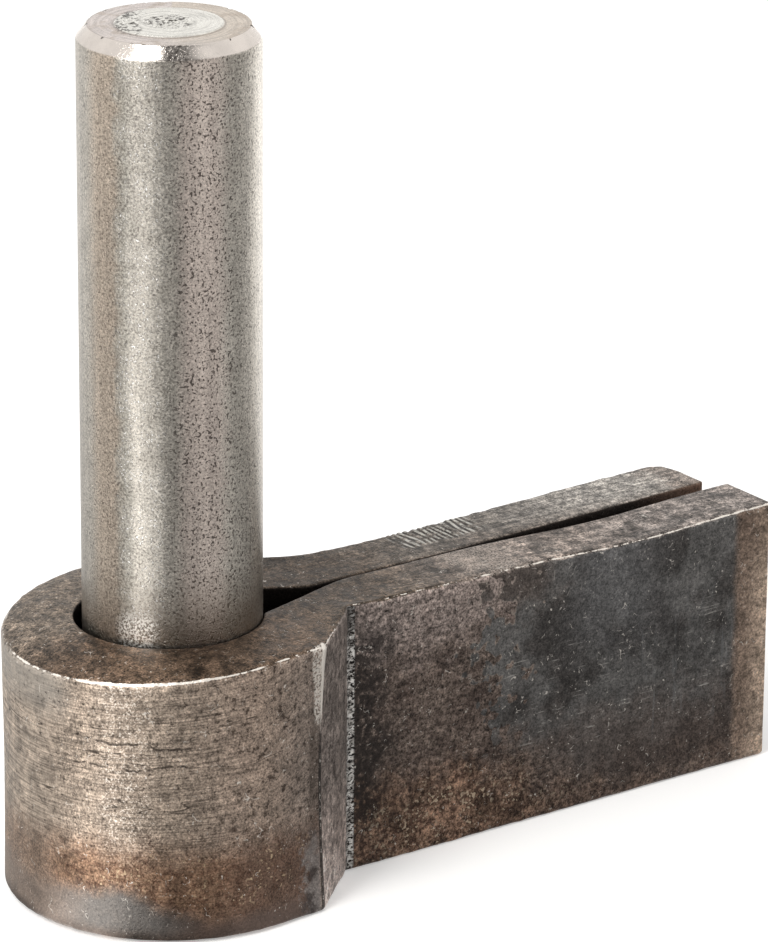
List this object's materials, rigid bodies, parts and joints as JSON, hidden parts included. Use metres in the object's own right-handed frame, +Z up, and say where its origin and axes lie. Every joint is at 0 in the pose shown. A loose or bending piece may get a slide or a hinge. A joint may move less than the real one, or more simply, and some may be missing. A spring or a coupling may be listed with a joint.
{
  "type": "gate hinge pin",
  "caption": "Weld-on gate hinge pin: a flat steel bar folded into an eye round an upright plain round pin, with both legs drawn together for welding to a post.",
  "frame": {"origin": "on the pin's axis at the eye's top plane, where the gate's eye comes to rest", "axes": "+Z up along the pin, +X along the legs away from the pin, +Y towards the back leg"},
  "size_m": [0.0769, 0.0296, 0.0793],
  "materials": {
    "strap": "dark mill scale, worn bright on the edges",
    "pin": "bright drawn, scuffed",
    "weld": "dull weld metal with heat tint"
  },
  "bodies": {
    "root": {"strap": "strap", "pin": "pin", "weld": "weld"}
  },
  "joints": []
}
